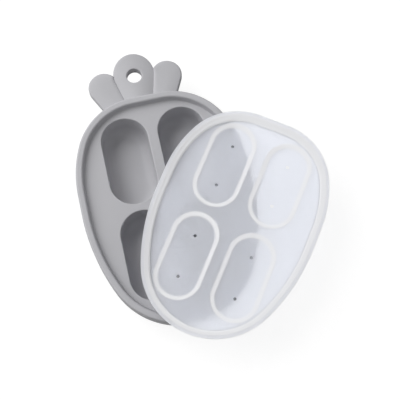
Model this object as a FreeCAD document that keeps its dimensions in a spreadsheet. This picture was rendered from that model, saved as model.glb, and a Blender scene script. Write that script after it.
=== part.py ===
"""Baby food freezer tray: a soft silicone tray with four cups and a loose push-in lid.

Millimetres, +Z up. The origin is the middle of the foot of the back left cup, on the
surface the tray stands on. +Y points to the wide end, which carries the leaf-shaped
hanging tab. Both pieces are drawn about the middle of the four cups, with the lid seated
in the tray, and are then placed: the lid lies lifted and turned on the rim.
"""
import FreeCAD, Part
import math
import os
import Sketcher

# Driving sizes: alias, value, what it measures
SIZES = (
    ("cavity_width", 34.6, "mouth of a cup, across"),
    ("cavity_length", 66.0, "mouth of a cup, along"),
    ("cavity_depth", 21.0, "deck to the bottom of a cup"),
    ("cavity_draft", 2.5, "degrees that cup walls lean in"),
    ("trough_round", 8.0, "rounding inside the bottom of a cup"),
    ("foot_bevel", 5.0, "slope round the foot of a cup"),
    ("mouth_bevel", 0.6, "broken edge of a cup mouth"),
    ("column_web", 7.6, "deck between left and right cups"),
    ("row_web", 5.6, "deck between front and back cups"),
    ("wall", 2.2, "cup and deck wall"),
    ("cup_floor", 2.0, "silicone under a cup"),
    ("side_margin", 23.6, "cup mouth to the widest point of the rim"),
    ("tip_setback", 15.6, "tip circle centre, in from the front cup arcs"),
    ("shoulder_setback", 17.7, "shoulder centre, in from the back cup arcs"),
    ("tip_tightness", 8.1, "half width less the tip radius"),
    ("shoulder_tightness", 3.6, "room left between shoulder arc and side"),
    ("flat_half", 10.3, "half of the flat at the wide end"),
    ("front_side_radius", 143.0, "long curve from waist to tip"),
    ("back_side_radius", 89.0, "long curve from waist to shoulder"),
    ("rim_width", 4.9, "flat top of the rim"),
    ("rim_step", 5.0, "rim top above the deck"),
    ("rim_draft", 12.0, "degrees that the inner rim wall leans"),
    ("rim_outer_round", 1.5, "rounding on the outer rim edge"),
    ("rim_inner_round", 1.6, "rounding on the inner rim edge"),
    ("deck_bevel", 0.9, "slope where the rim wall meets the deck"),
    ("skirt_height", 12.0, "rim top to the foot of the skirt"),
    ("skirt_wall", 2.6, "skirt thickness"),
    ("skirt_bevel", 0.5, "broken outer edge of the skirt's foot"),
    ("leaf_shift", 4.1, "tab sits this far left of the middle"),
    ("leaf_drop", 3.0, "rim top to the top of the side leaves"),
    ("leaf_thickness", 5.2, "side leaf thickness"),
    ("leaf_step", 1.2, "middle leaf above the side leaves"),
    ("leaf_bevel", 0.9, "broken edge round a leaf"),
    ("leaf_root", 7.0, "leaf roots, in from the flat of the wide end"),
    ("middle_leaf_radius", 15.2, "round end of the middle leaf"),
    ("middle_leaf_reach", 19.9, "its centre beyond the flat"),
    ("middle_leaf_taper", 14.0, "degrees that each of its sides leans"),
    ("side_leaf_radius", 11.3, "round end of a side leaf"),
    ("side_leaf_reach", 13.9, "its centre beyond the flat"),
    ("side_leaf_spread", 23.8, "its centre from the tab's middle"),
    ("side_leaf_taper", 27.0, "degrees that its outer side leans"),
    ("hole_radius", 5.6, "hanging hole"),
    ("hole_reach", 17.1, "hanging hole beyond the flat"),
    ("hole_bevel", 0.5, "broken top edge of the hanging hole"),
    ("lid_thickness", 1.4, "lid wall"),
    ("lid_edge_inset", 3.0, "lid edge, in from the outer rim edge"),
    ("lid_edge_bevel", 0.4, "broken edges of the lid"),
    ("plug_gap", 0.4, "lid plug to the inner rim wall"),
    ("plate_gap", 0.5, "lid plate above the deck when seated"),
    ("plug_bevel", 1.3, "slope inside the corner of wall and plate"),
    ("well_bevel", 0.6, "slope where the lid's edge turns down into its wall"),
    ("pan_depth", 2.2, "cup plugs below the lid plate"),
    ("pan_gap", 0.4, "cup plug to the cup mouth"),
    ("pan_draft", 12.0, "degrees that cup plug walls lean"),
    ("pan_bevel", 0.6, "slope inside the bottom of a cup plug"),
    ("vent_radius", 1.0, "vent hole"),
    ("vent_pitch", 31.2, "between the two vents over one cup"),
    ("rest_x", 41.5, "where the lid lies, across from the middle of the tray"),
    ("rest_y", -26.8, "where the lid lies, along from the middle of the tray"),
    ("rest_turn", 35.0, "degrees that it lies turned clockwise"),
    ("rest_gap", 0.3, "air under the lid where it lies on the rim"),
)

doc = FreeCAD.newDocument("freezer_tray")
sheet = doc.addObject("Spreadsheet::Sheet", "Spreadsheet")
for row, (alias, value, meaning) in enumerate(SIZES, start=1):
    sheet.set("A%d" % row, alias)
    sheet.set("B%d" % row, "%.6g" % value)
    sheet.set("C%d" % row, meaning)
    sheet.setAlias("B%d" % row, alias)
doc.recompute()


def cell(alias):
    """The sheet's value of one size, as a plain number."""
    return float(sheet.get(alias))


def ref(alias):
    """The same size as it is written in an expression."""
    return "Spreadsheet." + alias


LEVEL_TOLERANCE = 0.001
PLACE_TOLERANCE = 0.01

# Sizes that follow from the driving ones, written once as expressions
CUP_ARC = "%s / 2" % ref("cavity_width")
CUP_STRAIGHT = "(%s - %s) / 2" % (ref("cavity_length"), ref("cavity_width"))
CUP_X = "((%s + %s) / 2)" % (ref("cavity_width"), ref("column_web"))
CUP_Y = "((%s + %s) / 2)" % (ref("cavity_length"), ref("row_web"))
HALF_WIDTH = "(%s + %s / 2 + %s)" % (ref("cavity_width"), ref("column_web"), ref("side_margin"))
TIP_Y = "(%s + %s - %s)" % (CUP_Y, CUP_STRAIGHT, ref("tip_setback"))
SHOULDER_Y = "(%s + %s - %s)" % (CUP_Y, CUP_STRAIGHT, ref("shoulder_setback"))
TIP_RADIUS = "(%s - %s)" % (HALF_WIDTH, ref("tip_tightness"))
SHOULDER_RADIUS = "(%s - %s - %s)" % (HALF_WIDTH, ref("flat_half"), ref("shoulder_tightness"))
FLAT_Y = "(%s + %s)" % (SHOULDER_Y, SHOULDER_RADIUS)
DECK = "(%s + %s)" % (ref("cup_floor"), ref("cavity_depth"))
RIM = "(%s + %s)" % (DECK, ref("rim_step"))
SKIRT_FOOT = "(%s - %s)" % (RIM, ref("skirt_height"))
DECK_UNDER = "(%s - %s)" % (DECK, ref("wall"))
LEAF_TOP = "(%s - %s)" % (RIM, ref("leaf_drop"))
LEAF_UNDER = "(%s - %s)" % (LEAF_TOP, ref("leaf_thickness"))
MIDDLE_LEAF_TOP = "(%s + %s)" % (LEAF_TOP, ref("leaf_step"))
PLATE_UNDER = "(%s + %s)" % (DECK, ref("plate_gap"))
PLATE_TOP = "(%s + %s)" % (PLATE_UNDER, ref("lid_thickness"))
LID_TOP = "(%s + %s)" % (RIM, ref("lid_thickness"))
REST_LIFT = "%s - %s + %s + %s" % (ref("rim_step"), ref("plate_gap"), ref("pan_depth"), ref("rest_gap"))
PLUG_EDGE = "(%s + %s)" % (ref("rim_width"), ref("plug_gap"))


def amount(expression):
    """The number an expression gives now, for the first guess of a sketch."""
    value = sheet.evalExpression(expression)
    return float(getattr(value, "Value", value))


def new_body(name):
    """An empty body whose label names its file."""
    body = doc.addObject("PartDesign::Body", name)
    body.Label = name
    return body


def level_sketch(body, name, height):
    """A sketch parallel to the body's own XY plane at a height given by an expression."""
    sketch = body.newObject("Sketcher::SketchObject", name)
    plane = [item for item in body.Origin.OriginFeatures if item.Role == "XY_Plane"][0]
    sketch.AttachmentSupport = [(plane, "")]
    sketch.MapMode = "FlatFace"
    sketch.setExpression("AttachmentOffset.Base.z", height)
    return sketch


def bind(sketch, kind, where, expression):
    """Add a sized constraint and tie it to the sheet."""
    index = sketch.addConstraint(Sketcher.Constraint(kind, *where, amount(expression)))
    sketch.setExpression("Constraints[%d]" % index, expression)


def bind_angle(sketch, line, expression):
    """Tie a line's direction, from the X axis, to an expression in degrees."""
    angle = math.radians(amount(expression))
    index = sketch.addConstraint(Sketcher.Constraint("Angle", line, angle))
    sketch.setExpression("Constraints[%d]" % index, expression)


def place_x(sketch, geometry, point, expression, left=False):
    """Hold a point to the right, or to the left, of the middle by an expression."""
    ends = (geometry, point, -1, 1) if left else (-1, 1, geometry, point)
    bind(sketch, "DistanceX", ends, expression)


def place_y(sketch, geometry, point, expression, front=False):
    """Hold a point behind, or in front of, the middle by an expression."""
    ends = (geometry, point, -1, 1) if front else (-1, 1, geometry, point)
    bind(sketch, "DistanceY", ends, expression)


def arc(centre_x, centre_y, radius, start, end):
    """A counterclockwise arc, angles in radians."""
    circle = Part.Circle(FreeCAD.Vector(centre_x, centre_y, 0), FreeCAD.Vector(0, 0, 1), radius)
    return Part.ArcOfCircle(circle, start, end)


def segment(x_start, y_start, x_end, y_end):
    """A straight edge."""
    return Part.LineSegment(FreeCAD.Vector(x_start, y_start, 0), FreeCAD.Vector(x_end, y_end, 0))


def tangent_join(sketch, first, second):
    """The end of one edge runs smoothly into the start of the next."""
    sketch.addConstraint(Sketcher.Constraint("Tangent", first, 2, second, 1))


def body_outline(body, name, height, inset):
    """The tray's loop of tangent arcs, drawn in from the outer edge by an expression.

    Every inset loop keeps the same centres and takes the inset off each radius.
    """
    sketch = level_sketch(body, name, height)
    step = amount(inset)
    half = amount(HALF_WIDTH)
    tip_radius, tip_y = amount(TIP_RADIUS), -amount(TIP_Y)
    shoulder_radius, shoulder_y = amount(SHOULDER_RADIUS), amount(SHOULDER_Y)
    front, back, flat = cell("front_side_radius"), cell("back_side_radius"), cell("flat_half")
    front_rise = math.sqrt((front - tip_radius) ** 2 - (front - half) ** 2)
    back_drop = math.sqrt((back - shoulder_radius) ** 2 - (back - half + flat) ** 2)
    front_y, back_y = tip_y + front_rise, shoulder_y - back_drop
    front_angle = math.atan2(-front_rise, front - half)
    back_angle = math.atan2(back_drop, back - half + flat)
    top, edge = shoulder_y + shoulder_radius - step, half - step
    sketch.addGeometry([
        arc(0, tip_y, tip_radius - step, math.pi - front_angle, 2 * math.pi + front_angle),
        arc(half - front, front_y, front - step, front_angle, 0),
        segment(edge, front_y, edge, back_y),
        arc(half - back, back_y, back - step, 0, back_angle),
        arc(flat, shoulder_y, shoulder_radius - step, back_angle, math.pi / 2),
        segment(flat, top, -flat, top),
        arc(-flat, shoulder_y, shoulder_radius - step, math.pi / 2, math.pi - back_angle),
        arc(back - half, back_y, back - step, math.pi - back_angle, math.pi),
        segment(-edge, back_y, -edge, front_y),
        arc(front - half, front_y, front - step, math.pi, math.pi - front_angle),
    ], False)
    for first in range(10):
        tangent_join(sketch, first, (first + 1) % 10)
    sketch.addConstraint(Sketcher.Constraint("PointOnObject", 0, 3, -2))
    place_y(sketch, 0, 3, TIP_Y, front=True)
    bind(sketch, "Radius", (0,), "%s - %s" % (TIP_RADIUS, inset))
    for side, shoulder, left in ((3, 4, False), (7, 6, True)):
        bind(sketch, "Radius", (side,), "%s - %s" % (ref("back_side_radius"), inset))
        bind(sketch, "Radius", (shoulder,), "%s - %s" % (SHOULDER_RADIUS, inset))
        place_x(sketch, shoulder, 3, ref("flat_half"), left)
        place_y(sketch, shoulder, 3, SHOULDER_Y)
    for side in (1, 9):
        bind(sketch, "Radius", (side,), "%s - %s" % (ref("front_side_radius"), inset))
    for line, left in ((2, False), (8, True)):
        sketch.addConstraint(Sketcher.Constraint("Vertical", line))
        place_x(sketch, line, 1, "%s - %s" % (HALF_WIDTH, inset), left)
    return sketch


def cup_outlines(body, name, height, inset):
    """Four obrounds in two rows and two columns, drawn in from the cup mouths by an expression."""
    sketch = level_sketch(body, name, height)
    radius = amount("%s - %s" % (CUP_ARC, inset))
    straight = amount(CUP_STRAIGHT)
    for across in (1, -1):
        for along in (1, -1):
            x, y = across * amount(CUP_X), along * amount(CUP_Y)
            right, back, left, front = range(sketch.GeometryCount, sketch.GeometryCount + 4)
            sketch.addGeometry([
                segment(x + radius, y - straight, x + radius, y + straight),
                arc(x, y + straight, radius, 0, math.pi),
                segment(x - radius, y + straight, x - radius, y - straight),
                arc(x, y - straight, radius, math.pi, 2 * math.pi),
            ], False)
            for first, second in ((right, back), (back, left), (left, front), (front, right)):
                tangent_join(sketch, first, second)
            sketch.addConstraint(Sketcher.Constraint("Vertical", right))
            for end in (back, front):
                bind(sketch, "Radius", (end,), "%s - %s" % (CUP_ARC, inset))
            place_x(sketch, back, 3, CUP_X, left=across < 0)
            outer, inner = (back, front) if along > 0 else (front, back)
            place_y(sketch, outer, 3, "%s + %s" % (CUP_Y, CUP_STRAIGHT), front=along < 0)
            place_y(sketch, inner, 3, "%s - %s" % (CUP_Y, CUP_STRAIGHT), front=along < 0)
    return sketch


def circles(body, name, height, radius, centres):
    """Round holes, each at (across, left or not, along, front or not)."""
    sketch = level_sketch(body, name, height)
    for across, left, along, front in centres:
        x = -amount(across) if left else amount(across)
        y = -amount(along) if front else amount(along)
        circle = Part.Circle(FreeCAD.Vector(x, y, 0), FreeCAD.Vector(0, 0, 1), cell(radius))
        hole = sketch.addGeometry(circle, False)
        bind(sketch, "Radius", (hole,), ref(radius))
        place_x(sketch, hole, 3, across, left)
        place_y(sketch, hole, 3, along, front)
    return sketch


def extrude(body, kind, name, sketch, length, upwards=True, taper=None):
    """A Pad or a Pocket from a level sketch, straight or with leaning walls."""
    feature = body.newObject("PartDesign::" + kind, name)
    feature.Profile = sketch
    feature.setExpression("Length", length)
    feature.Reversed = upwards if kind == "Pocket" else not upwards
    if taper:
        feature.setExpression("TaperAngle", taper)
    doc.recompute()
    return feature


def dress(body, kind, name, base, chosen, size):
    """Round or bevel the edges of a feature that a test on the edge picks out."""
    numbers = [n for n, edge in enumerate(base.Shape.Edges, start=1) if chosen(edge)]
    feature = body.newObject("PartDesign::" + kind, name)
    feature.Base = (base, ["Edge%d" % n for n in numbers])
    feature.setExpression("Radius" if kind == "Fillet" else "Size", size)
    doc.recompute()
    return feature


def fillet(body, name, base, chosen, radius):
    """Round the chosen edges."""
    return dress(body, "Fillet", name, base, chosen, radius)


def bevel(body, name, base, chosen, size):
    """Break the chosen edges with a narrow slope."""
    return dress(body, "Chamfer", name, base, chosen, size)



def level_edge(edge, height):
    """True where an edge lies flat at a height."""
    box = edge.BoundBox
    return abs(box.ZMin - height) < LEVEL_TOLERANCE and abs(box.ZMax - height) < LEVEL_TOLERANCE


def edge_middle(edge):
    """The point half way along an edge."""
    return edge.valueAt((edge.FirstParameter + edge.LastParameter) / 2)


def inset_of(edge):
    """How far in from the outer loop the middle of an edge lies."""
    point = edge_middle(edge)
    x, y = abs(point.x), point.y
    if y < -amount(TIP_Y):
        return amount(TIP_RADIUS) - math.hypot(x, y + amount(TIP_Y))
    if y < amount(SHOULDER_Y):
        return amount(HALF_WIDTH) - x
    if x < cell("flat_half"):
        return amount(FLAT_Y) - y
    return amount(SHOULDER_RADIUS) - math.hypot(x - cell("flat_half"), y - amount(SHOULDER_Y))


def on_cup(edge):
    """True where an edge runs along a cup mouth."""
    point = edge_middle(edge)
    x = abs(point.x) - amount(CUP_X)
    y = max(abs(abs(point.y) - amount(CUP_Y)) - amount(CUP_STRAIGHT), 0)
    return abs(math.hypot(x, y) - amount(CUP_ARC)) < PLACE_TOLERANCE


def free_edge(height, hand=0, ring=False):
    """A test for leaf edges at a height, outside the rim, on one side of the tab or on both.

    With ring it picks the closed circle of the hanging hole, and nothing else.
    """
    level, hub = amount(height), -cell("leaf_shift")

    def chosen(edge):
        beside = hand * (edge_middle(edge).x - hub) >= 0
        outside = level_edge(edge, level) and inset_of(edge) < -PLACE_TOLERANCE
        return outside and beside and edge.isClosed() == ring

    return chosen


def side_leaf(body, left):
    """One outer leaf: a round end, a leaning outer side and an inner side under the middle leaf."""
    hand = -1 if left else 1
    hub = -cell("leaf_shift")
    radius, lean = cell("side_leaf_radius"), math.radians(cell("side_leaf_taper"))
    x = hub + hand * cell("side_leaf_spread")
    y = amount(FLAT_Y) + cell("side_leaf_reach")
    root = amount(FLAT_Y) - cell("leaf_root")
    outer = (x + hand * radius * math.cos(lean), y - radius * math.sin(lean))
    foot = (outer[0] - hand * (outer[1] - root) * math.tan(lean), root)
    reach = math.hypot(x - hub, y - root)
    inner_angle = math.atan2(y - root, abs(x - hub)) + math.asin(radius / reach)
    along = math.sqrt(reach ** 2 - radius ** 2)
    inner = (hub + hand * along * math.cos(inner_angle), root + along * math.sin(inner_angle))
    sketch = level_sketch(body, "left_leaf_outline" if left else "right_leaf_outline", LEAF_UNDER)
    end_out = math.atan2(outer[1] - y, outer[0] - x)
    end_in = math.atan2(inner[1] - y, inner[0] - x)
    start, end = (end_in, end_out) if left else (end_out, end_in)
    if end < start:
        end += 2 * math.pi
    sketch.addGeometry([
        arc(x, y, radius, start, end),
        segment(foot[0], foot[1], outer[0], outer[1]),
        segment(hub, root, inner[0], inner[1]),
        segment(foot[0], foot[1], hub, root),
    ], False)
    outer_point, inner_point = (2, 1) if left else (1, 2)
    sketch.addConstraint(Sketcher.Constraint("Tangent", 0, outer_point, 1, 2))
    sketch.addConstraint(Sketcher.Constraint("Tangent", 0, inner_point, 2, 2))
    sketch.addConstraint(Sketcher.Constraint("Coincident", 1, 1, 3, 1))
    sketch.addConstraint(Sketcher.Constraint("Coincident", 2, 1, 3, 2))
    sketch.addConstraint(Sketcher.Constraint("Horizontal", 3))
    bind(sketch, "Radius", (0,), ref("side_leaf_radius"))
    spread = "%s %s %s" % (ref("side_leaf_spread"), "+" if left else "-", ref("leaf_shift"))
    place_x(sketch, 0, 3, spread, left)
    place_y(sketch, 0, 3, "%s + %s" % (FLAT_Y, ref("side_leaf_reach")))
    place_x(sketch, 2, 1, ref("leaf_shift"), left=True)
    place_y(sketch, 2, 1, "%s - %s" % (FLAT_Y, ref("leaf_root")))
    bind_angle(sketch, 1, "90 %s %s" % ("+" if left else "-", ref("side_leaf_taper")))
    return sketch


def middle_leaf(body):
    """The middle leaf: a round end on two sides that draw together towards the rim."""
    hub = -cell("leaf_shift")
    radius, lean = cell("middle_leaf_radius"), math.radians(cell("middle_leaf_taper"))
    y = amount(FLAT_Y) + cell("middle_leaf_reach")
    root = amount(FLAT_Y) - cell("leaf_root")
    tangent_x, tangent_y = radius * math.cos(lean), y - radius * math.sin(lean)
    foot = tangent_x - (tangent_y - root) * math.tan(lean)
    sketch = level_sketch(body, "middle_leaf_outline", LEAF_UNDER)
    sketch.addGeometry([
        arc(hub, y, radius, -lean, math.pi + lean),
        segment(hub - tangent_x, tangent_y, hub - foot, root),
        segment(hub - foot, root, hub + foot, root),
        segment(hub + foot, root, hub + tangent_x, tangent_y),
    ], False)
    tangent_join(sketch, 0, 1)
    sketch.addConstraint(Sketcher.Constraint("Coincident", 1, 2, 2, 1))
    sketch.addConstraint(Sketcher.Constraint("Coincident", 2, 2, 3, 1))
    tangent_join(sketch, 3, 0)
    sketch.addConstraint(Sketcher.Constraint("Horizontal", 2))
    sketch.addConstraint(Sketcher.Constraint("Equal", 1, 3))
    bind(sketch, "Radius", (0,), ref("middle_leaf_radius"))
    place_x(sketch, 0, 3, ref("leaf_shift"), left=True)
    place_y(sketch, 0, 3, "%s + %s" % (FLAT_Y, ref("middle_leaf_reach")))
    place_y(sketch, 2, 1, "%s - %s" % (FLAT_Y, ref("leaf_root")))
    bind_angle(sketch, 3, "90 - %s" % ref("middle_leaf_taper"))
    return sketch


def make_tray():
    """The silicone tray: rim, skirt, leaf tab, deck and four cups in one moulding."""
    body = new_body("tray")
    outline = body_outline(body, "rim_outline", SKIRT_FOOT, "0")
    extrude(body, "Pad", "rim_block", outline, ref("skirt_height"))
    for left in (False, True):
        name = "left_leaf" if left else "right_leaf"
        leaf = extrude(body, "Pad", name, side_leaf(body, left), ref("leaf_thickness"))
        hand = -1 if left else 1
        bevel(body, name + "_edge", leaf, free_edge(LEAF_TOP, hand), ref("leaf_bevel"))
    leaf_height = "%s + %s" % (ref("leaf_thickness"), ref("leaf_step"))
    leaf = extrude(body, "Pad", "middle_leaf", middle_leaf(body), leaf_height)
    bevel(body, "middle_leaf_edge", leaf, free_edge(MIDDLE_LEAF_TOP), ref("leaf_bevel"))
    hole_place = (ref("leaf_shift"), True, "%s + %s" % (FLAT_Y, ref("hole_reach")), False)
    hole = circles(body, "hole_outline", LEAF_UNDER, "hole_radius", [hole_place])
    cut = extrude(body, "Pocket", "hanging_hole", hole, leaf_height, True)
    bevel(body, "hole_edge", cut, free_edge(MIDDLE_LEAF_TOP, ring=True), ref("hole_bevel"))

    recess = body_outline(body, "recess_outline", RIM, ref("rim_width"))
    extrude(body, "Pocket", "deck_recess", recess, ref("rim_step"), False, "-" + ref("rim_draft"))
    hollow = body_outline(body, "hollow_outline", SKIRT_FOOT, ref("skirt_wall"))
    extrude(body, "Pocket", "underside", hollow, "%s - %s" % (DECK_UNDER, SKIRT_FOOT))

    cups = cup_outlines(body, "cup_outlines", DECK_UNDER, "-" + ref("wall"))
    extrude(body, "Pad", "cups", cups, DECK_UNDER, False, "-" + ref("cavity_draft"))
    mouths = cup_outlines(body, "mouth_outlines", DECK, "0")
    shape = extrude(body, "Pocket", "cavities", mouths, ref("cavity_depth"), False,
                    "-" + ref("cavity_draft"))
    floor = cell("cup_floor")
    shape = fillet(body, "troughs", shape, lambda edge: level_edge(edge, floor), ref("trough_round"))
    shape = bevel(body, "cup_feet", shape, lambda edge: level_edge(edge, 0), ref("foot_bevel"))
    rim, deck, rim_width = amount(RIM), amount(DECK), cell("rim_width")
    shape = fillet(body, "rim_outer_edge", shape,
                   lambda edge: level_edge(edge, rim) and inset_of(edge) < rim_width / 2,
                   ref("rim_outer_round"))
    shape = fillet(body, "rim_inner_edge", shape,
                   lambda edge: level_edge(edge, rim) and inset_of(edge) > rim_width * 0.9,
                   ref("rim_inner_round"))
    shape = bevel(body, "deck_corner", shape,
                  lambda edge: level_edge(edge, deck) and rim_width / 2 < inset_of(edge) < rim_width * 2
                  and not on_cup(edge), ref("deck_bevel"))
    shape = bevel(body, "cup_mouths", shape, lambda edge: level_edge(edge, deck) and on_cup(edge),
                  ref("mouth_bevel"))
    foot = amount(SKIRT_FOOT)
    bevel(body, "skirt_foot", shape,
          lambda edge: level_edge(edge, foot) and abs(inset_of(edge)) < PLACE_TOLERANCE, ref("skirt_bevel"))
    return body


def make_lid():
    """The clear lid: a flat edge, a push-in wall, a sunken plate and a plug over each cup."""
    body = new_body("lid")
    edge_loop = body_outline(body, "edge_outline", RIM, ref("lid_edge_inset"))
    flange = extrude(body, "Pad", "edge", edge_loop, ref("lid_thickness"))
    rim, top = amount(RIM), amount(LID_TOP)
    bevel(body, "edge_bevel", flange, lambda edge: level_edge(edge, rim) or level_edge(edge, top),
          ref("lid_edge_bevel"))
    plug_loop = body_outline(body, "plug_outline", RIM, PLUG_EDGE)
    plug = extrude(body, "Pad", "plug", plug_loop, "%s - %s" % (RIM, PLATE_UNDER), False,
                   "-" + ref("rim_draft"))
    under, plate = amount(PLATE_UNDER), amount(PLATE_TOP)
    bevel(body, "plug_corner", plug, lambda edge: level_edge(edge, under),
          "%s + %s / 2" % (ref("plug_bevel"), ref("lid_thickness")))
    well_loop = body_outline(body, "well_outline", LID_TOP, "(%s + %s)" % (PLUG_EDGE, ref("lid_thickness")))
    well = extrude(body, "Pocket", "well", well_loop, "%s - %s" % (LID_TOP, PLATE_TOP), False,
                   "-" + ref("rim_draft"))
    well = bevel(body, "well_corner", well, lambda edge: level_edge(edge, plate), ref("plug_bevel"))
    well_edge = amount(PLUG_EDGE) + cell("lid_thickness")
    bevel(body, "well_lip", well,
          lambda edge: level_edge(edge, top) and abs(inset_of(edge) - well_edge) < PLACE_TOLERANCE,
          ref("well_bevel"))
    outer = cup_outlines(body, "pan_outlines", PLATE_UNDER, ref("pan_gap"))
    extrude(body, "Pad", "pans", outer, ref("pan_depth"), False, "-" + ref("pan_draft"))
    inner = cup_outlines(body, "pan_well_outlines", PLATE_TOP,
                         "(%s + %s)" % (ref("pan_gap"), ref("lid_thickness")))
    wells = extrude(body, "Pocket", "pan_wells", inner, ref("pan_depth"), False, "-" + ref("pan_draft"))
    pan_floor = amount(PLATE_TOP) - cell("pan_depth")
    bevel(body, "pan_floor_edge", wells, lambda edge: level_edge(edge, pan_floor), ref("pan_bevel"))
    vents = [(CUP_X, left, "%s %s %s / 2" % (CUP_Y, sign, ref("vent_pitch")), front)
             for left in (False, True) for front in (False, True) for sign in "+-"]
    holes = circles(body, "vent_outlines", PLATE_UNDER, "vent_radius", vents)
    extrude(body, "Pocket", "vents", holes, ref("pan_depth"), False)
    return body


def stand_tray(body):
    """Set the tray down with the middle of its back left cup over the origin."""
    body.setExpression("Placement.Base.x", CUP_X)
    body.setExpression("Placement.Base.y", "-" + CUP_Y)


def lay_lid(body):
    """Lift the lid off its seat and lay it, turned, on the rim with its cup plugs just clear."""
    body.Placement = FreeCAD.Placement(FreeCAD.Vector(), FreeCAD.Rotation(FreeCAD.Vector(0, 0, 1), -1))
    body.setExpression("Placement.Base.x", "%s + %s" % (ref("rest_x"), CUP_X))
    body.setExpression("Placement.Base.y", "%s - %s" % (ref("rest_y"), CUP_Y))
    body.setExpression("Placement.Base.z", REST_LIFT)
    body.setExpression("Placement.Rotation.Angle", "-" + ref("rest_turn"))


def export(bodies):
    """Check every object, then write one STEP file for each piece."""
    failed = [item.Name for item in doc.Objects if "Invalid" in item.State or "Error" in item.State]
    if failed:
        raise RuntimeError("failed objects: " + ", ".join(failed))
    for body in bodies:
        if body.Shape.isNull() or not body.Shape.isValid() or len(body.Shape.Solids) != 1:
            raise RuntimeError("bad shape: " + body.Label)
    os.makedirs("parts", exist_ok=True)
    for body in bodies:
        body.Shape.exportStep("parts/%s.step" % body.Label)
        box = body.Shape.BoundBox
        size = tuple(round(value, 2) for value in (box.XLength, box.YLength, box.ZLength))
        print(body.Label, "volume", round(body.Shape.Volume, 1), "size", size)


tray = make_tray()
lid = make_lid()
stand_tray(tray)
lay_lid(lid)
doc.recompute()
export((tray, lid))
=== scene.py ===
"""A baby food freezer tray: grey moulded silicone with four cups, and its frosted lid.

Metres, +Z up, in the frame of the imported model, whose origin is the middle of the foot of
the back left cup. Shapes are drawn about the middle of the four cups and then settled in
that frame: the tray stands on the floor, and the lid lies turned over its right half.
"""
import math

import bmesh
import bpy
import numpy as np
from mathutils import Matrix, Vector
from mathutils.geometry import tessellate_polygon


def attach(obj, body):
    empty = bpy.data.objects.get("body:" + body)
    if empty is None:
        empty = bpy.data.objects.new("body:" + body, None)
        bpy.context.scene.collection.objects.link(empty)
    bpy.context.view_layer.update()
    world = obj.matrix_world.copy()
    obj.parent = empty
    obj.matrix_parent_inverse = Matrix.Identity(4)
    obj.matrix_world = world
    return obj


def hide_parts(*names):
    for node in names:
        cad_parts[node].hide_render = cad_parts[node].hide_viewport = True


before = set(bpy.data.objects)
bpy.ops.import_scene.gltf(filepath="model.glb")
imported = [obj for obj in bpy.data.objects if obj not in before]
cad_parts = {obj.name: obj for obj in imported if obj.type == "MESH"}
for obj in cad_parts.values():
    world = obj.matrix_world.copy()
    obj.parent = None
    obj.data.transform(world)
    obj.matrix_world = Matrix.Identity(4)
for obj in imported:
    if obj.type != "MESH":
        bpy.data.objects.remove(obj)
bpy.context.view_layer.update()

MM = 0.001

# Meshing: spacing along a path, the turn between two points of a rounding and the guard beside
# it, the weld, the shortest edge kept, and the angle at which an edge stays sharp
STEP = 1.1 * MM
TURN_STEP = math.radians(9)
GUARD = 0.12 * MM
WELD = 0.002 * MM
THINNEST = 0.0005 * MM
SHARP = math.radians(38)

# Cups: four obrounds in two rows and two columns
CUP_ARC = 17.3 * MM
CUP_STRAIGHT = 15.7 * MM
CUP_X = 21.1 * MM
CUP_Y = 35.8 * MM
MIDDLE = Vector((CUP_X, -CUP_Y, 0))
CUP_FLOOR = 2.0 * MM
CUP_DRAFT = math.tan(math.radians(2.5))
TROUGH_ROUND = 8.0 * MM
FOOT_ROUND = 8.5 * MM
WALL = 2.2 * MM
MOUTH_ROUND = 0.7 * MM
TROUGH_STEP = math.radians(5)

# Body outline: a tip circle, long side curves, two shoulders and a flat
HALF_WIDTH = 62.0 * MM
TIP_Y = -35.9 * MM
TIP_RADIUS = 53.9 * MM
SHOULDER_Y = 33.8 * MM
SHOULDER_RADIUS = 48.1 * MM
FLAT_HALF = 10.3 * MM
FLAT_Y = SHOULDER_Y + SHOULDER_RADIUS
FRONT_SIDE = 143.0 * MM
BACK_SIDE = 89.0 * MM

# Rim, deck and skirt
DECK = 23.0 * MM
DECK_UNDER = DECK - WALL
RIM = 28.0 * MM
SKIRT_FOOT = 16.0 * MM
SKIRT_WALL = 2.6 * MM
RIM_WIDTH = 4.9 * MM
RIM_LEAN = math.tan(math.radians(12.0))
RIM_ROUND = 1.5 * MM
DECK_ROUND = 0.8 * MM
SKIRT_OUTER_ROUND = 0.7 * MM
SKIRT_INNER_ROUND = 0.5 * MM

# Leaf tab: places are counted from the tab's own middle and from the flat, and a leaf is
# how far across, how far out, the radius of its round end and the lean of its outer side
HUB_X = -4.1 * MM
LEAF_UNDER = 19.8 * MM
LEAF_LEVEL = 24.5 * MM
MIDDLE_LEAF = (0.0, 19.9 * MM, 15.2 * MM, math.radians(14.0))
SIDE_LEAF = (23.8 * MM, 13.9 * MM, 11.3 * MM, math.radians(27.0))
LEAF_ROOT = 7.0 * MM
LEAF_ROUND = 1.1 * MM
MIDDLE_CROWN = 2.4 * MM
SIDE_CROWN = 1.0 * MM
HOLE_RADIUS = 5.6 * MM
HOLE_REACH = 17.1 * MM
TAB_SEAT = 1.3 * MM

# How finely the tab is worked out, and how near a point has to be to count as on a leaf
TAB_STEP = 0.7 * MM
LEAF_END_POINTS = 60
CREASE_POINTS = 6
HALVINGS = 40
ON_LEAF = 1e-7

# How a leaf's top is meshed: a fan of levels, from 1 at its rim to 0 at the hole or the pole,
# closer together where the rim and the hole are rounded
ROUND_LEVELS = 8
MIDDLE_LEVELS = (0.88, 0.12, 9)
SIDE_LEVELS = (0.86, 0.0, 10)
SIDE_SCALE = 1.3
SIDE_POLE = (20.0 * MM, 9.5 * MM)

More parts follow.
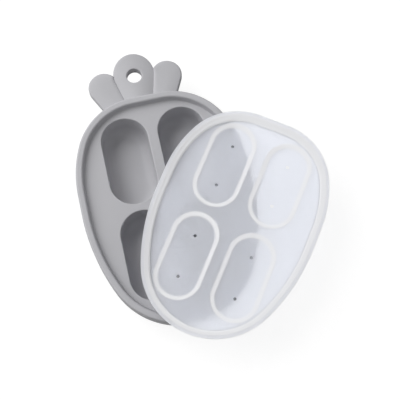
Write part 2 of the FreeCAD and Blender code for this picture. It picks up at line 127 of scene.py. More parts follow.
# Lid, in the place where it sits when it is pushed in
LID_WALL = 1.4 * MM
LID_INSET = 3.0 * MM
RIM_GAP = 0.4 * MM
DECK_GAP = 0.5 * MM
PLUG_EDGE = RIM_WIDTH + RIM_GAP
PLATE_UNDER = DECK + DECK_GAP
PLATE_TOP = PLATE_UNDER + LID_WALL
LID_TOP = RIM + LID_WALL
PAN_GAP = 0.4 * MM
PAN_DEPTH = 2.2 * MM
VENT_RADIUS = 1.2 * MM
VENT_HALF_PITCH = 15.6 * MM
VENT_ROUND = 0.15 * MM

# Ramps on the lid's upper side, as insets from the body's outline and from a cup's mouth
WELL_TOP = 5.7 * MM
WELL_FOOT = 8.6 * MM
PAN_RAMP_TOP = 0.3 * MM
PAN_RAMP_FOOT = 3.4 * MM

# Roundings of the lid
LID_EDGE_ROUND = 0.5 * MM
WELL_TOP_ROUND = 1.2 * MM
WELL_FOOT_ROUND = 1.4 * MM
PUSH_IN_TOP_ROUND = 0.4 * MM
PUSH_IN_FOOT_ROUND = 2.6 * MM
PAN_RAMP_ROUND = 1.5 * MM
PLUG_TOP_ROUND = 0.8 * MM
PLUG_FOOT_ROUND = 1.4 * MM

# Where the lid lies in the photograph, from the middle of the cups
REST = Vector((41.5 * MM, -26.8 * MM, 7.0 * MM))
REST_TURN = math.radians(-35.0)

# Camera, fitted to the outlines in the photograph
CAMERA = MIDDLE + Vector((-21.72 * MM, -196.60 * MM, 668.6 * MM))
TARGET = MIDDLE + Vector((21.90 * MM, -6.15 * MM, 28.0 * MM))
LENS = 84.96
SENSOR = 36.0

# Light: an even sky, one large softbox at the upper left, and a floor whose glow only the
# camera, reflections and light through the lid see
SKY = 0.37
KEY_PLACE = Vector((-1.10, 1.00, 1.34))
KEY_SIZE = 2.0
KEY_WATTS = 42.0
FLOOR_COLOUR = (0.22, 0.22, 0.22)
FLOOR_GLOW = 0.86
FLOOR_HALF = 1.5

# A grain is its size, the size of the drift in tone, and its bump's strength and depth
SILICONE_GRAIN = (0.35 * MM, 30 * MM, 0.12, 0.05 * MM)
SILICONE_TONES = ((0.455, 0.4535, 0.475), (0.495, 0.4935, 0.515))
SILICONE_ROUGHNESS = 0.6
SILICONE_SHINE = 0.35

# Grades of frosted plastic: the plate lets most light through, its bends less and its steep walls
# least. A band runs from one inset to another, and a later band covers an earlier one.
PLATE, BEND, STEEP = 0, 1, 2
EDGE_BANDS = ((0, 9.2 * MM, BEND), (5.3 * MM, 9.2 * MM, STEEP))
PAN_BANDS = ((-0.2 * MM, 3.9 * MM, BEND), (0.5 * MM, 3.0 * MM, STEEP))
FROSTS = (("frosted_plate", 0.58, (0.935, 0.952, 1.0)),
          ("frosted_bend", 0.42, (0.955, 0.965, 1.0)),
          ("frosted_wall", 0.08, (0.97, 0.975, 0.995)))
FROST_GRAIN = (0.25 * MM, 30 * MM, 0.08, 0.04 * MM)
FROST_ROUGHNESS = 0.9
FROST_IOR = 1.3
FROST_FAINTEST = 0.985
EVENNESS = 0.9


def arc_path(centre, radius, start, end, spacing):
    """Points centre + radius * (cos a, sin a) and their outward normals, the last left out."""
    steps = max(2, round(abs(end - start) * radius / spacing))
    angle = np.linspace(start, end, steps, endpoint=False)
    normal = np.stack((np.cos(angle), np.sin(angle)), 1)
    return np.array(centre) + radius * normal, normal


def line_path(start, end, spacing):
    """Points from start towards end, the last left out, with the normal to the right of the run."""
    start, end = np.array(start), np.array(end)
    run = end - start
    length = np.hypot(*run)
    share = np.linspace(0, 1, max(2, round(length / spacing)), endpoint=False)
    normal = np.array((run[1], -run[0])) / length
    return start + share[:, None] * run, np.repeat(normal[None], len(share), 0)


def join(paths):
    """One closed path from runs that follow each other."""
    return tuple(np.concatenate(arrays) for arrays in zip(*paths))


def body_path(spacing=STEP):
    """The tray's outer loop, counterclockwise, from tangent arcs about their own centres."""
    front_rise = math.sqrt((FRONT_SIDE - TIP_RADIUS) ** 2 - (FRONT_SIDE - HALF_WIDTH) ** 2)
    across = BACK_SIDE - HALF_WIDTH + FLAT_HALF
    back_drop = math.sqrt((BACK_SIDE - SHOULDER_RADIUS) ** 2 - across ** 2)
    front_y, back_y = TIP_Y + front_rise, SHOULDER_Y - back_drop
    front = math.atan2(front_rise, FRONT_SIDE - HALF_WIDTH)
    back = math.atan2(back_drop, across)
    turn = math.pi
    return join([
        arc_path((0, TIP_Y), TIP_RADIUS, turn + front, 2 * turn - front, spacing),
        arc_path((HALF_WIDTH - FRONT_SIDE, front_y), FRONT_SIDE, -front, 0, spacing),
        line_path((HALF_WIDTH, front_y), (HALF_WIDTH, back_y), spacing),
        arc_path((HALF_WIDTH - BACK_SIDE, back_y), BACK_SIDE, 0, back, spacing),
        arc_path((FLAT_HALF, SHOULDER_Y), SHOULDER_RADIUS, back, turn / 2, spacing),
        line_path((FLAT_HALF, FLAT_Y), (-FLAT_HALF, FLAT_Y), spacing),
        arc_path((-FLAT_HALF, SHOULDER_Y), SHOULDER_RADIUS, turn / 2, turn - back, spacing),
        arc_path((BACK_SIDE - HALF_WIDTH, back_y), BACK_SIDE, turn - back, turn, spacing),
        line_path((-HALF_WIDTH, back_y), (-HALF_WIDTH, front_y), spacing),
        arc_path((FRONT_SIDE - HALF_WIDTH, front_y), FRONT_SIDE, turn, turn + front, spacing),
    ])


def cup_path(x, y, spacing=STEP):
    """An obround about (x, y): two half circles joined by straight runs along Y."""
    right, left = x + CUP_ARC, x - CUP_ARC
    back, front = y + CUP_STRAIGHT, y - CUP_STRAIGHT
    return join([
        line_path((right, front), (right, back), spacing),
        arc_path((x, back), CUP_ARC, 0, math.pi, spacing),
        line_path((left, back), (left, front), spacing),
        arc_path((x, front), CUP_ARC, math.pi, 2 * math.pi, spacing),
    ])


def circle_path(x, y, radius, steps=20):
    """A circle of that many steps about (x, y)."""
    return arc_path((x, y), radius, 0, 2 * math.pi, 2 * math.pi * radius / steps)


def rounded(corners, guard=GUARD, turn_step=TURN_STEP):
    """A section through (across, height, radius) corners, each an arc tangent to both its runs.

    The arc is the great-circle blend of its two end radii. A guard point on each side of it
    keeps the flat runs flat when they are shaded.
    """
    places = np.array([corner[:2] for corner in corners], float)
    section = [places[:1]]
    for before, here, after, (_, _, radius) in zip(places, places[1:], places[2:], corners[1:-1]):
        if radius == 0:
            section.append(here[None])
            continue
        back = (before - here) / np.hypot(*(before - here))
        ahead = (after - here) / np.hypot(*(after - here))
        half = math.acos(np.clip(back @ ahead, -1, 1)) / 2
        setback = radius / math.tan(half)
        centre = here + (back + ahead) / np.hypot(*(back + ahead)) * radius / math.sin(half)
        first, last = here + back * setback - centre, here + ahead * setback - centre
        sweep_angle = math.pi - 2 * half
        share = np.linspace(0, 1, max(3, math.ceil(sweep_angle / turn_step)) + 1)[:, None]
        blend = np.sin((1 - share) * sweep_angle) * first + np.sin(share * sweep_angle) * last
        section.append((here + back * (setback + guard))[None])
        section.append(centre + blend / math.sin(sweep_angle))
        section.append((here + ahead * (setback + guard))[None])
    section.append(places[-1:])
    return np.concatenate(section)


class Shell:
    """Gathers grids and flat fills, and welds them into one closed mesh."""

    def __init__(self):
        self.points, self.faces, self.grades = [], [], []
        self.count = 0

    def add(self, points, faces, grade=0):
        """Adds points (n, 3) and faces (m, 3 or 4) that index them; a face's grade is its material."""
        self.points.append(points)
        self.grades.append(np.broadcast_to(grade, len(faces)))
        self.faces += (faces + self.count).tolist()
        self.count += len(points)

    def grid(self, grid, closed=True, grade=0):
        """Adds quads between neighbours in an (n, m, 3) grid; closed joins its last row to its first."""
        rows, columns = grid.shape[:2]
        index = np.arange(rows * columns).reshape(rows, columns)
        here = index if closed else index[:-1]
        ahead = np.roll(index, -1, 0) if closed else index[1:]
        quads = np.stack((here[:, :-1], ahead[:, :-1], ahead[:, 1:], here[:, 1:]), -1)
        face_grades = np.broadcast_to(grade, quads.shape[:2])
        self.add(grid.reshape(-1, 3), quads.reshape(-1, 4), face_grades.ravel())

    def sweep(self, path, section, grade=0):
        """Carries a section of (inset, height) round a path: point - inset * normal, at that height."""
        points, normals = path
        flat = points[:, None, :] - section[None, :, :1] * normals[:, None, :]
        height = np.broadcast_to(section[None, :, 1:], flat.shape[:2] + (1,))
        self.grid(np.concatenate((flat, height), 2), grade=grade)

    def fill(self, rings, height, upwards):
        """Adds a flat face at one height inside the first (path, inset) ring and outside the others."""
        loops = [points - inset * normals for (points, normals), inset in rings]
        flat = np.concatenate(loops)
        points = np.column_stack((flat, np.full(len(flat), height)))
        starts = np.cumsum([0] + [len(loop) for loop in loops])
        polygons = [points[start:end].tolist() for start, end in zip(starts, starts[1:])]
        faces = np.array(tessellate_polygon(polygons))
        a, b, c = flat[faces[:, 0]], flat[faces[:, 1]], flat[faces[:, 2]]
        (along_x, along_y), (aside_x, aside_y) = (b - a).T, (c - a).T
        wrong = (along_x * aside_y - along_y * aside_x > 0) != upwards
        faces[wrong] = faces[wrong][:, ::-1]
        self.add(points, faces)

    def mesh(self, name):
        """The welded mesh, smooth except where faces meet at more than the sharp angle."""
        mesh = bpy.data.meshes.new(name)
        mesh.from_pydata(np.concatenate(self.points), [], self.faces)
        mesh.polygons.foreach_set("material_index", np.concatenate(self.grades).astype(np.int32))
        shape = bmesh.new()
        shape.from_mesh(mesh)
        bmesh.ops.remove_doubles(shape, verts=shape.verts, dist=WELD)
        bmesh.ops.dissolve_degenerate(shape, edges=shape.edges, dist=THINNEST)
        loose = sum(not edge.is_manifold for edge in shape.edges)
        print(name, "faces", len(shape.faces), "open or doubled edges", loose)
        shape.to_mesh(mesh)
        shape.free()
        mesh.shade_smooth()
        mesh.set_sharp_from_angle(angle=SHARP)
        return mesh


def settle(mesh, place, turn=0.0):
    """Turns a mesh about the upright axis through the middle of the cups and moves it to its place."""
    points = np.empty(len(mesh.vertices) * 3, np.float32)
    mesh.vertices.foreach_get("co", points)
    x, y, z = points.reshape(-1, 3).T
    cos, sin = math.cos(turn), math.sin(turn)
    turned = np.column_stack((x * cos - y * sin + place.x, x * sin + y * cos + place.y, z + place.z))
    mesh.vertices.foreach_set("co", turned.astype(np.float32).ravel())
    mesh.update()
    return mesh


def even_out(mesh):
    """Leans the shading normals of thin frosted walls towards straight up or down, by EVENNESS.

    Light spreads inside such walls, so they look almost as bright on either side.
    """
    normals = np.empty(len(mesh.loops) * 3, np.float32)
    mesh.corner_normals.foreach_get("vector", normals)
    normals = normals.reshape(-1, 3)
    upright = np.zeros_like(normals)
    upright[:, 2] = np.where(normals[:, 2] < 0, -1, 1)
    mixed = (1 - EVENNESS) * normals + EVENNESS * upright
    mixed /= np.linalg.norm(mixed, axis=1)[:, None]
    mesh.normals_split_custom_set(mixed.tolist())
    return mesh


def piece(name, mesh, body, materials, node):
    """An object at the origin that rides on a body and stands for a CAD node."""
    thing = bpy.data.objects.new(name, mesh)
    bpy.context.scene.collection.objects.link(thing)
    for material in materials:
        thing.data.materials.append(material)
    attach(thing, body)
    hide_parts(node)


def cup_centres():
    """The middles of the four cups."""
    return [(x, y) for x in (-CUP_X, CUP_X) for y in (-CUP_Y, CUP_Y)]


def leaf_depth(x, y, leaf, hand):
    """How deep a point lies inside one leaf: radius less the distance to its round end's centre
    within the arc's sector, and else the distance to the nearer of its two straight sides."""
    across, reach, radius, lean = leaf
    u, v = hand * (x - HUB_X) - across, y - FLAT_Y - reach
    outer = radius - (u * math.cos(lean) - v * math.sin(lean))
    if across:
        aim = math.atan2(reach + LEAF_ROOT, across)
        tilt = aim + math.asin(radius / math.hypot(across, reach + LEAF_ROOT))
        inner = radius - (v * math.cos(tilt) - u * math.sin(tilt))
        inner_end = math.pi / 2 + tilt
    else:
        inner = radius - (-u * math.cos(lean) - v * math.sin(lean))
        inner_end = math.pi + lean
    angle = np.mod(np.arctan2(v, u) + lean, 2 * math.pi) - lean
    in_sector = (angle >= -lean) & (angle <= inner_end)
    return np.where(in_sector, radius - np.hypot(u, v), np.minimum(outer, inner))


def rounding(depth, radius):
    """How far an edge of that radius falls, depth metres in from its rim: r - sqrt(r^2 - (r - d)^2)."""
    left = radius - np.clip(depth, 0, radius)
    return radius - np.sqrt(radius ** 2 - left ** 2)


def leaf_height(x, y):
    """Top of the tab: each leaf is crowned across, the crowns meet in creases, and the rim is rounded.

    Across the middle leaf the crown is c * (1 - share^2) of the way to its side, and across a
    side leaf 4 * c * off * edge / (off + edge)^2, from its distances to the crease and to its rim.
    """
    middle = leaf_depth(x, y, MIDDLE_LEAF, 1)
    side = np.maximum(leaf_depth(x, y, SIDE_LEAF, 1), leaf_depth(x, y, SIDE_LEAF, -1))
    _, reach, radius, lean = MIDDLE_LEAF
    above = y - FLAT_Y - reach
    straight = radius / math.cos(lean) + above * math.tan(lean)
    half = np.where(above < -radius * math.sin(lean), straight,
                    np.sqrt(np.maximum(radius ** 2 - np.minimum(above, 0) ** 2, 0)))
    share = np.clip(np.abs(x - HUB_X) / half, 0, 1)
    crown = MIDDLE_CROWN * (1 - share ** 2)
    off, edge = np.maximum(-middle, 0), np.maximum(side, 0)
    beside = SIDE_CROWN * 4 * off * edge / np.maximum(off + edge, MM) ** 2
    hole = np.hypot(x - HUB_X, y - FLAT_Y - HOLE_REACH) - HOLE_RADIUS
    top = LEAF_LEVEL + np.where(middle > -ON_LEAF, crown, beside)
    return top - rounding(np.maximum(middle, side), LEAF_ROUND) - rounding(hole, LEAF_ROUND / 2)


def seat_point(start, end):
    """Where a leaf's side meets the tab's seat inside the rim wall, by halving."""
    start, end = np.array(start), np.array(end)
    low, high = 0.0, 1.0
    for _ in range(HALVINGS):
        middle = (low + high) / 2
        x, y = start + middle * (end - start)
        beyond = max(abs(x) - FLAT_HALF, 0)
        inset = SHOULDER_RADIUS - math.hypot(beyond, y - SHOULDER_Y)
        low, high = (middle, high) if inset < TAB_SEAT else (low, middle)
    return start + low * (end - start)


def seat_run(start, end, spacing):
    """Points along the seat from one x to another, on the body outline less the seat's depth."""
    count = max(2, round(abs(end[0] - start[0]) / spacing))
    x = np.linspace(start[0], end[0], count, endpoint=False)
    beyond = np.maximum(np.abs(x) - FLAT_HALF, 0)
    return np.column_stack((x, SHOULDER_Y + np.sqrt((SHOULDER_RADIUS - TAB_SEAT) ** 2 - beyond ** 2)))


def crease(hand, spacing):
    """From the seat up the middle leaf's side and round its end to the notch, and the notch's angle.

    The notch is where the middle leaf's round end crosses the side leaf's.
    """
    _, reach, radius, lean = MIDDLE_LEAF
    side_across, side_reach, side_radius, _ = SIDE_LEAF
    centre = np.array((HUB_X, FLAT_Y + reach))
    other = np.array((HUB_X + hand * side_across, FLAT_Y + side_reach))
    gap = other - centre
    distance = np.hypot(*gap)
    along = (distance ** 2 + radius ** 2 - side_radius ** 2) / (2 * distance)
    aside = math.sqrt(radius ** 2 - along ** 2)
    notch = gap / distance * along + np.array((-gap[1], gap[0])) / distance * aside * hand
    tangent = centre + radius * np.array((hand * math.cos(lean), -math.sin(lean)))
    foot = tangent - (tangent[1] - FLAT_Y + LEAF_ROOT) * np.array((hand * math.tan(lean), 1))
    seat = seat_point(tangent, foot)
    notch_angle = math.atan2(notch[1], hand * notch[0])
    angle = np.linspace(-lean, notch_angle, CREASE_POINTS)
    round_end = centre + radius * np.column_stack((hand * np.cos(angle), np.sin(angle)))
    return np.concatenate((line_path(seat, tangent, spacing)[0], round_end)), notch_angle


def side_edge(hand, notch, spacing):
    """From the seat up a side leaf's outer side and round its end, up to the notch."""
    across, reach, radius, lean = SIDE_LEAF
    centre = np.array((HUB_X + hand * across, FLAT_Y + reach))
    tangent = centre + radius * np.array((hand * math.cos(lean), -math.sin(lean)))
    foot = tangent - (tangent[1] - FLAT_Y + LEAF_ROOT) * np.array((hand * math.tan(lean), 1))
    seat = seat_point(tangent, foot)
    end = math.atan2(notch[1] - centre[1], hand * (notch[0] - centre[0]))
    angle = np.arange(-lean, end, spacing / radius)
    round_end = centre + radius * np.column_stack((hand * np.cos(angle), np.sin(angle)))
    return np.concatenate((line_path(seat, tangent, spacing)[0], round_end))


def fan(shell, inner, outer, levels):
    """Grids from an outer loop in to an inner one, its top by leaf_height and its underside flat."""
    flat = inner[:, None] + levels[None, :, None] * (outer - inner)[:, None]
    top = leaf_height(flat[..., 0], flat[..., 1])[..., None]
    under = np.full_like(top, LEAF_UNDER)
    shell.grid(np.concatenate((flat, top), 2))
    shell.grid(np.concatenate((flat, under), 2)[:, ::-1])


def wall_strip(shell, run):
    """The upright wall below an edge, from the tab's top down to its underside."""
    top = np.column_stack((run, leaf_height(run[:, 0], run[:, 1])))
    under = np.column_stack((run, np.full(len(run), LEAF_UNDER)))
    shell.grid(np.stack((under, top), 1), closed=False)


def rim_levels(radius):
    """Where the levels of a leaf's rounded rim lie: its round * (1 - cos a) / the leaf's radius."""
    return LEAF_ROUND * (1 - np.cos(np.linspace(0, math.pi / 2, ROUND_LEVELS))) / radius


def middle_leaf(shell, right, left, over, spacing):
    """The middle leaf: a ring between its rim and the hanging hole, and the hole's wall."""
    rim = np.concatenate((right, over, left[:0:-1], seat_run(left[0], right[0], spacing)))
    hole = np.array((HUB_X, FLAT_Y + HOLE_REACH))
    away = rim - hole
    ring = hole + away / np.hypot(away[:, 0], away[:, 1])[:, None] * HOLE_RADIUS
    near = rim_levels(MIDDLE_LEAF[2])
    fan(shell, ring, rim, np.concatenate((1 - near, np.linspace(*MIDDLE_LEVELS), near[:0:-1] / 2, [0.0])))
    ring_top = np.column_stack((ring, leaf_height(ring[:, 0], ring[:, 1])))
    ring_under = np.column_stack((ring, np.full(len(ring), LEAF_UNDER)))
    shell.grid(np.stack((ring_top, ring_under), 1))
    wall_strip(shell, np.concatenate((right[-1:], over, left[-1:])))


def side_leaf(shell, hand, seam, spacing):
    """One side leaf: a fan about its pole, and its walls, from the crease that it shares."""
    edge = side_edge(hand, seam[-1], spacing)
    bottom = seat_run(seam[0], edge[0], spacing)
    loop = np.concatenate((bottom, edge, seam[:0:-1]))
    rim_run = np.concatenate((edge, seam[-1:]))
    seat = np.concatenate((bottom, edge[:1]))
    if hand < 0:
        loop, rim_run, seat = loop[::-1], rim_run[::-1], seat[::-1]
    pole = np.array((HUB_X + hand * SIDE_POLE[0], FLAT_Y + SIDE_POLE[1]))
    near = rim_levels(MIDDLE_LEAF[2]) * SIDE_SCALE
    fan(shell, np.repeat(pole[None], len(loop), 0), loop,
        np.concatenate((1 - near, np.linspace(*SIDE_LEVELS))))
    wall_strip(shell, rim_run)
    wall_strip(shell, seat)


def tab_mesh(spacing=TAB_STEP):
    """The three-leaf tab as a closed slab: a fan for each leaf, joined along the creases."""
    shell = Shell()
    _, reach, radius, _ = MIDDLE_LEAF
    right, right_angle = crease(1, spacing)
    left, left_angle = crease(-1, spacing)
    centre = np.array((HUB_X, FLAT_Y + reach))
    angle = np.linspace(right_angle, math.pi - left_angle, LEAF_END_POINTS)[1:-1]
    over = centre + radius * np.column_stack((np.cos(angle), np.sin(angle)))
    middle_leaf(shell, right, left, over, spacing)
    for hand, seam in ((1, right), (-1, left)):
        side_leaf(shell, hand, seam, spacing)
    wall_strip(shell, np.concatenate((seat_run(left[0], right[0], spacing), right[:1])))
    return shell.mesh("leaf_tab")


def tray_mesh():
    """Rim, skirt, deck and cups as one closed surface."""
    shell = Shell()
    outline = body_path()
    inner_wall = RIM_WIDTH + RIM_LEAN * (RIM - DECK)
    deck_edge, under_edge = 7.4 * MM, 4.4 * MM
    shell.sweep(outline, rounded([
        (under_edge, DECK_UNDER, 0), (SKIRT_WALL, DECK_UNDER, DECK_ROUND),
        (SKIRT_WALL, SKIRT_FOOT, SKIRT_INNER_ROUND), (0, SKIRT_FOOT, SKIRT_OUTER_ROUND),
        (0, RIM, RIM_ROUND), (RIM_WIDTH, RIM, RIM_ROUND),
        (inner_wall, DECK, DECK_ROUND), (deck_edge, DECK, 0)]))
    mouth_edge = -1.0 * MM
    inside = rounded([(mouth_edge, DECK, 0), (0, DECK, MOUTH_ROUND),
                      (CUP_DRAFT * (DECK - CUP_FLOOR), CUP_FLOOR, TROUGH_ROUND), (CUP_ARC, CUP_FLOOR, 0)],
                     turn_step=TROUGH_STEP)
    outside = rounded([(CUP_ARC, 0, 0), (CUP_DRAFT * DECK_UNDER - WALL, 0, FOOT_ROUND),
                       (-WALL, DECK_UNDER, 0)])
    cups = [cup_path(x, y) for x, y in cup_centres()]
    for path in cups:
        shell.sweep(path, inside)
        shell.sweep(path, outside)
    shell.fill([(outline, deck_edge)] + [(path, mouth_edge) for path in cups], DECK, True)
    shell.fill([(outline, under_edge)] + [(path, -WALL) for path in cups], DECK_UNDER, False)
    return shell.mesh("tray_body")


def union(mesh, other):
    """One closed mesh from two that overlap, by an exact boolean."""
    first = bpy.data.objects.new("first", mesh)
    second = bpy.data.objects.new("second", other)
    for thing in (first, second):
        bpy.context.scene.collection.objects.link(thing)
    cut = first.modifiers.new("join", "BOOLEAN")
    cut.operation, cut.solver, cut.object = "UNION", "EXACT", second
    depsgraph = bpy.context.evaluated_depsgraph_get()
    result = bpy.data.meshes.new_from_object(first.evaluated_get(depsgraph))
    for thing in (first, second):
        bpy.data.objects.remove(thing)
    result.shade_smooth()
    result.set_sharp_from_angle(angle=SHARP)
    return result


def grades(section, *bands):
    """The grade of each face of a swept section, from (inset, inset, grade) bands about its middle."""
    middle = (section[1:, 0] + section[:-1, 0]) / 2
    result = np.full(len(middle), PLATE)
    for low, high, grade in bands:
        result[(middle > low) & (middle < high)] = grade
    return result


def edge_section(under_edge, plate_edge):
    """From under the plate up the push-in wall, round the lid's edge and down the ramp to the plate."""
    drop = RIM_LEAN * (RIM - PLATE_UNDER)
    return rounded([
        (under_edge, PLATE_UNDER, 0), (PLUG_EDGE + drop, PLATE_UNDER, PUSH_IN_FOOT_ROUND),
        (PLUG_EDGE, RIM, PUSH_IN_TOP_ROUND), (LID_INSET, RIM, LID_EDGE_ROUND),
        (LID_INSET, LID_TOP, LID_EDGE_ROUND), (WELL_TOP, LID_TOP, WELL_TOP_ROUND),
        (WELL_FOOT, PLATE_TOP, WELL_FOOT_ROUND), (plate_edge, PLATE_TOP, 0)])


def add_pan(shell, x, y, rim_edge):
    """One pan over a cup: its upper side, the plug below it, its flat floor and its two vents."""
    path = cup_path(x, y)
    pan_top, pan_low = PLATE_TOP - PAN_DEPTH, PLATE_UNDER - PAN_DEPTH
    lean = RIM_LEAN * PAN_DEPTH
    bend_start, bend_end, floor_edge = -0.3 * MM, 4.2 * MM, 5.0 * MM
    well = rounded([
        (rim_edge, PLATE_TOP, 0), (bend_start, PLATE_TOP, 0), (PAN_RAMP_TOP, PLATE_TOP, PAN_RAMP_ROUND),
        (PAN_RAMP_FOOT, pan_top, PAN_RAMP_ROUND), (bend_end, pan_top, 0), (floor_edge, pan_top, 0)])
    plug = rounded([
        (floor_edge, pan_low, 0), (bend_end, pan_low, 0), (PAN_GAP + lean, pan_low, PLUG_FOOT_ROUND),
        (PAN_GAP, PLATE_UNDER, PLUG_TOP_ROUND), (rim_edge, PLATE_UNDER, 0)])
    shell.sweep(path, well, grades(well, *PAN_BANDS))
    shell.sweep(path, plug, grades(plug, *PAN_BANDS))
    vents = [circle_path(x, y + sign * VENT_HALF_PITCH, VENT_RADIUS) for sign in (-1, 1)]
    lip, guard = -0.4 * MM, 0.02 * MM
    wall = rounded([(lip, pan_top, 0), (0, pan_top, VENT_ROUND), (0, pan_low, VENT_ROUND),
                    (lip, pan_low, 0)], guard=guard)
    for vent in vents:
        shell.sweep(vent, wall)
    holes = [(vent, lip) for vent in vents]
    shell.fill([(path, floor_edge)] + holes, pan_top, True)
    shell.fill([(path, floor_edge)] + holes, pan_low, False)


def lid_mesh():
    """The lid as a thin closed shell: edge, push-in wall, plate, pans and vents, where it lies."""
    shell = Shell()
    outline = body_path()
    plate_edge, under_edge, rim_edge = 9.3 * MM, 9.0 * MM, -0.5 * MM
    edge = edge_section(under_edge, plate_edge)
    shell.sweep(outline, edge, grades(edge, *EDGE_BANDS))
    for x, y in cup_centres():
        add_pan(shell, x, y, rim_edge)
    pans = [(cup_path(x, y), rim_edge) for x, y in cup_centres()]
    shell.fill([(outline, plate_edge)] + pans, PLATE_TOP, True)
    shell.fill([(outline, under_edge)] + pans, PLATE_UNDER, False)
    return even_out(settle(shell.mesh("lid"), MIDDLE + REST, REST_TURN))


def grain_group():
    """Fine moulded grain: a height for a bump and a slow tone that drifts over the piece."""
    group = bpy.data.node_groups.new("moulded_grain", "ShaderNodeTree")
    for name, kind, direction in (("Grain Size", "NodeSocketFloat", "INPUT"),
                                  ("Drift Size", "NodeSocketFloat", "INPUT"),
                                  ("Height", "NodeSocketFloat", "OUTPUT"),
                                  ("Drift", "NodeSocketFloat", "OUTPUT")):
        group.interface.new_socket(name, in_out=direction, socket_type=kind)
    nodes, links = group.nodes, group.links
    given, result = nodes.new("NodeGroupInput"), nodes.new("NodeGroupOutput")
    place = nodes.new("ShaderNodeTexCoord")
    for size, output, detail in (("Grain Size", "Height", 3.0), ("Drift Size", "Drift", 2.0)):
        scale = nodes.new("ShaderNodeMath")
        scale.operation = "DIVIDE"
        scale.inputs[0].default_value = 1.0
        links.new(given.outputs[size], scale.inputs[1])
        noise = nodes.new("ShaderNodeTexNoise")
        noise.inputs["Detail"].default_value = detail
        links.new(place.outputs["Object"], noise.inputs["Vector"])
        links.new(scale.outputs[0], noise.inputs["Scale"])
        links.new(noise.outputs["Fac"], result.inputs[output])
    return group


def new_material(name, **sockets):
    """A material with one Principled shader, its plain sockets set, and its nodes and links."""
    material = bpy.data.materials.new(name)
    material.use_nodes = True
    nodes, links = material.node_tree.nodes, material.node_tree.links
    shader = nodes["Principled BSDF"]
    for socket, value in sockets.items():
        shader.inputs[socket.replace("_", " ")].default_value = value
    return material, nodes, links, shader


def add_grain(nodes, links, shader, group, grain, drift, strength, depth):
    """Puts the grain on a shader's normal, and returns the node so that its drift can be used."""
    node = nodes.new("ShaderNodeGroup")
    node.node_tree = group
    node.inputs["Grain Size"].default_value = grain
    node.inputs["Drift Size"].default_value = drift
    bump = nodes.new("ShaderNodeBump")
    bump.inputs["Strength"].default_value = strength
    bump.inputs["Distance"].default_value = depth
    links.new(node.outputs["Height"], bump.inputs["Height"])
    links.new(bump.outputs["Normal"], shader.inputs["Normal"])
    return node


def colour_ramp(nodes, links, value, low, high, socket):
    """Mixes two colours by a value and feeds the result to a socket."""
    ramp = nodes.new("ShaderNodeValToRGB")
    ramp.color_ramp.elements[0].color = low + (1.0,)
    ramp.color_ramp.elements[1].color = high + (1.0,)
    links.new(value, ramp.inputs["Fac"])
    links.new(ramp.outputs["Color"], socket)


def silicone(group):
    """Matt grey silicone: soft highlights, a fine grain and a faint drift in tone."""
    material, nodes, links, shader = new_material(
        "grey_silicone", Roughness=SILICONE_ROUGHNESS, Specular_IOR_Level=SILICONE_SHINE)
    grain = add_grain(nodes, links, shader, group, *SILICONE_GRAIN)
    colour_ramp(nodes, links, grain.outputs["Drift"], *SILICONE_TONES, shader.inputs["Base Color"])
    return material


def frosted(group, name, clearness, tint):
    """Frosted plastic: some light comes through blurred, the rest scatters back."""
    material, nodes, links, shader = new_material(
        name, Roughness=FROST_ROUGHNESS, IOR=FROST_IOR, Transmission_Weight=clearness)
    grain = add_grain(nodes, links, shader, group, *FROST_GRAIN)
    faintest = tuple(FROST_FAINTEST * channel for channel in tint)
    colour_ramp(nodes, links, grain.outputs["Drift"], faintest, tint, shader.inputs["Base Color"])
    return material


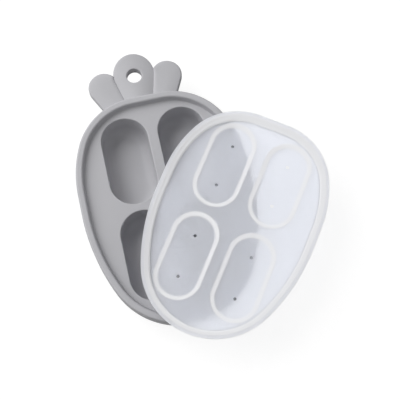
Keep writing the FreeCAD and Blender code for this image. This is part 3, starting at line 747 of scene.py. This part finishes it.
def floor():
    """A white floor that the camera sees as plain white except where the object shades it."""
    material = bpy.data.materials.new("white_floor")
    material.use_nodes = True
    nodes, links = material.node_tree.nodes, material.node_tree.links
    shader = nodes["Principled BSDF"]
    shader.inputs["Base Color"].default_value = FLOOR_COLOUR + (1,)
    shader.inputs["Roughness"].default_value = 1.0
    shader.inputs["Specular IOR Level"].default_value = 0.0
    path = nodes.new("ShaderNodeLightPath")
    shader.inputs["Emission Color"].default_value = (1, 1, 1, 1)
    seen = path.outputs["Is Camera Ray"]
    for ray in ("Is Glossy Ray", "Is Transmission Ray"):
        either = nodes.new("ShaderNodeMath")
        either.operation = "MAXIMUM"
        links.new(seen, either.inputs[0])
        links.new(path.outputs[ray], either.inputs[1])
        seen = either.outputs[0]
    glow = nodes.new("ShaderNodeMath")
    glow.operation = "MULTIPLY"
    glow.inputs[1].default_value = FLOOR_GLOW
    links.new(seen, glow.inputs[0])
    links.new(glow.outputs[0], shader.inputs["Emission Strength"])
    mesh = bpy.data.meshes.new("floor")
    corners = [(x * FLOOR_HALF, y * FLOOR_HALF, 0) for x, y in ((-1, -1), (1, -1), (1, 1), (-1, 1))]
    mesh.from_pydata(corners, [], [(0, 1, 2, 3)])
    thing = bpy.data.objects.new("floor", mesh)
    bpy.context.scene.collection.objects.link(thing)
    thing.data.materials.append(material)


def softbox(name, place, aim, size, watts):
    """A square area lamp that points from its place at a target."""
    lamp = bpy.data.lights.new(name, "AREA")
    lamp.size = size
    lamp.energy = watts
    thing = bpy.data.objects.new(name, lamp)
    thing.location = place
    thing.rotation_euler = (Vector(aim) - Vector(place)).to_track_quat("-Z", "Y").to_euler()
    bpy.context.scene.collection.objects.link(thing)


def light():
    """Soft studio light: an even white world and one large softbox at the upper left."""
    world = bpy.data.worlds.new("studio")
    bpy.context.scene.world = world
    world.use_nodes = True
    world.node_tree.nodes["Background"].inputs["Color"].default_value = (1, 1, 1, 1)
    world.node_tree.nodes["Background"].inputs["Strength"].default_value = SKY
    softbox("key", MIDDLE + KEY_PLACE, MIDDLE, KEY_SIZE, KEY_WATTS)


def camera():
    """The photograph's own view."""
    data = bpy.data.cameras.new("camera")
    data.lens = LENS
    data.sensor_width = SENSOR
    thing = bpy.data.objects.new("camera", data)
    thing.location = CAMERA
    thing.rotation_euler = (TARGET - CAMERA).to_track_quat("-Z", "Y").to_euler()
    bpy.context.scene.collection.objects.link(thing)
    bpy.context.scene.camera = thing


camera()
light()
floor()
bpy.context.scene.view_settings.view_transform = "Standard"
grain = grain_group()
tray = settle(union(tray_mesh(), tab_mesh()), MIDDLE)
piece("silicone_tray", tray, "tray", [silicone(grain)], "tray")
frosts = [frosted(grain, *finish) for finish in FROSTS]
piece("frosted_lid", lid_mesh(), "lid", frosts, "lid")
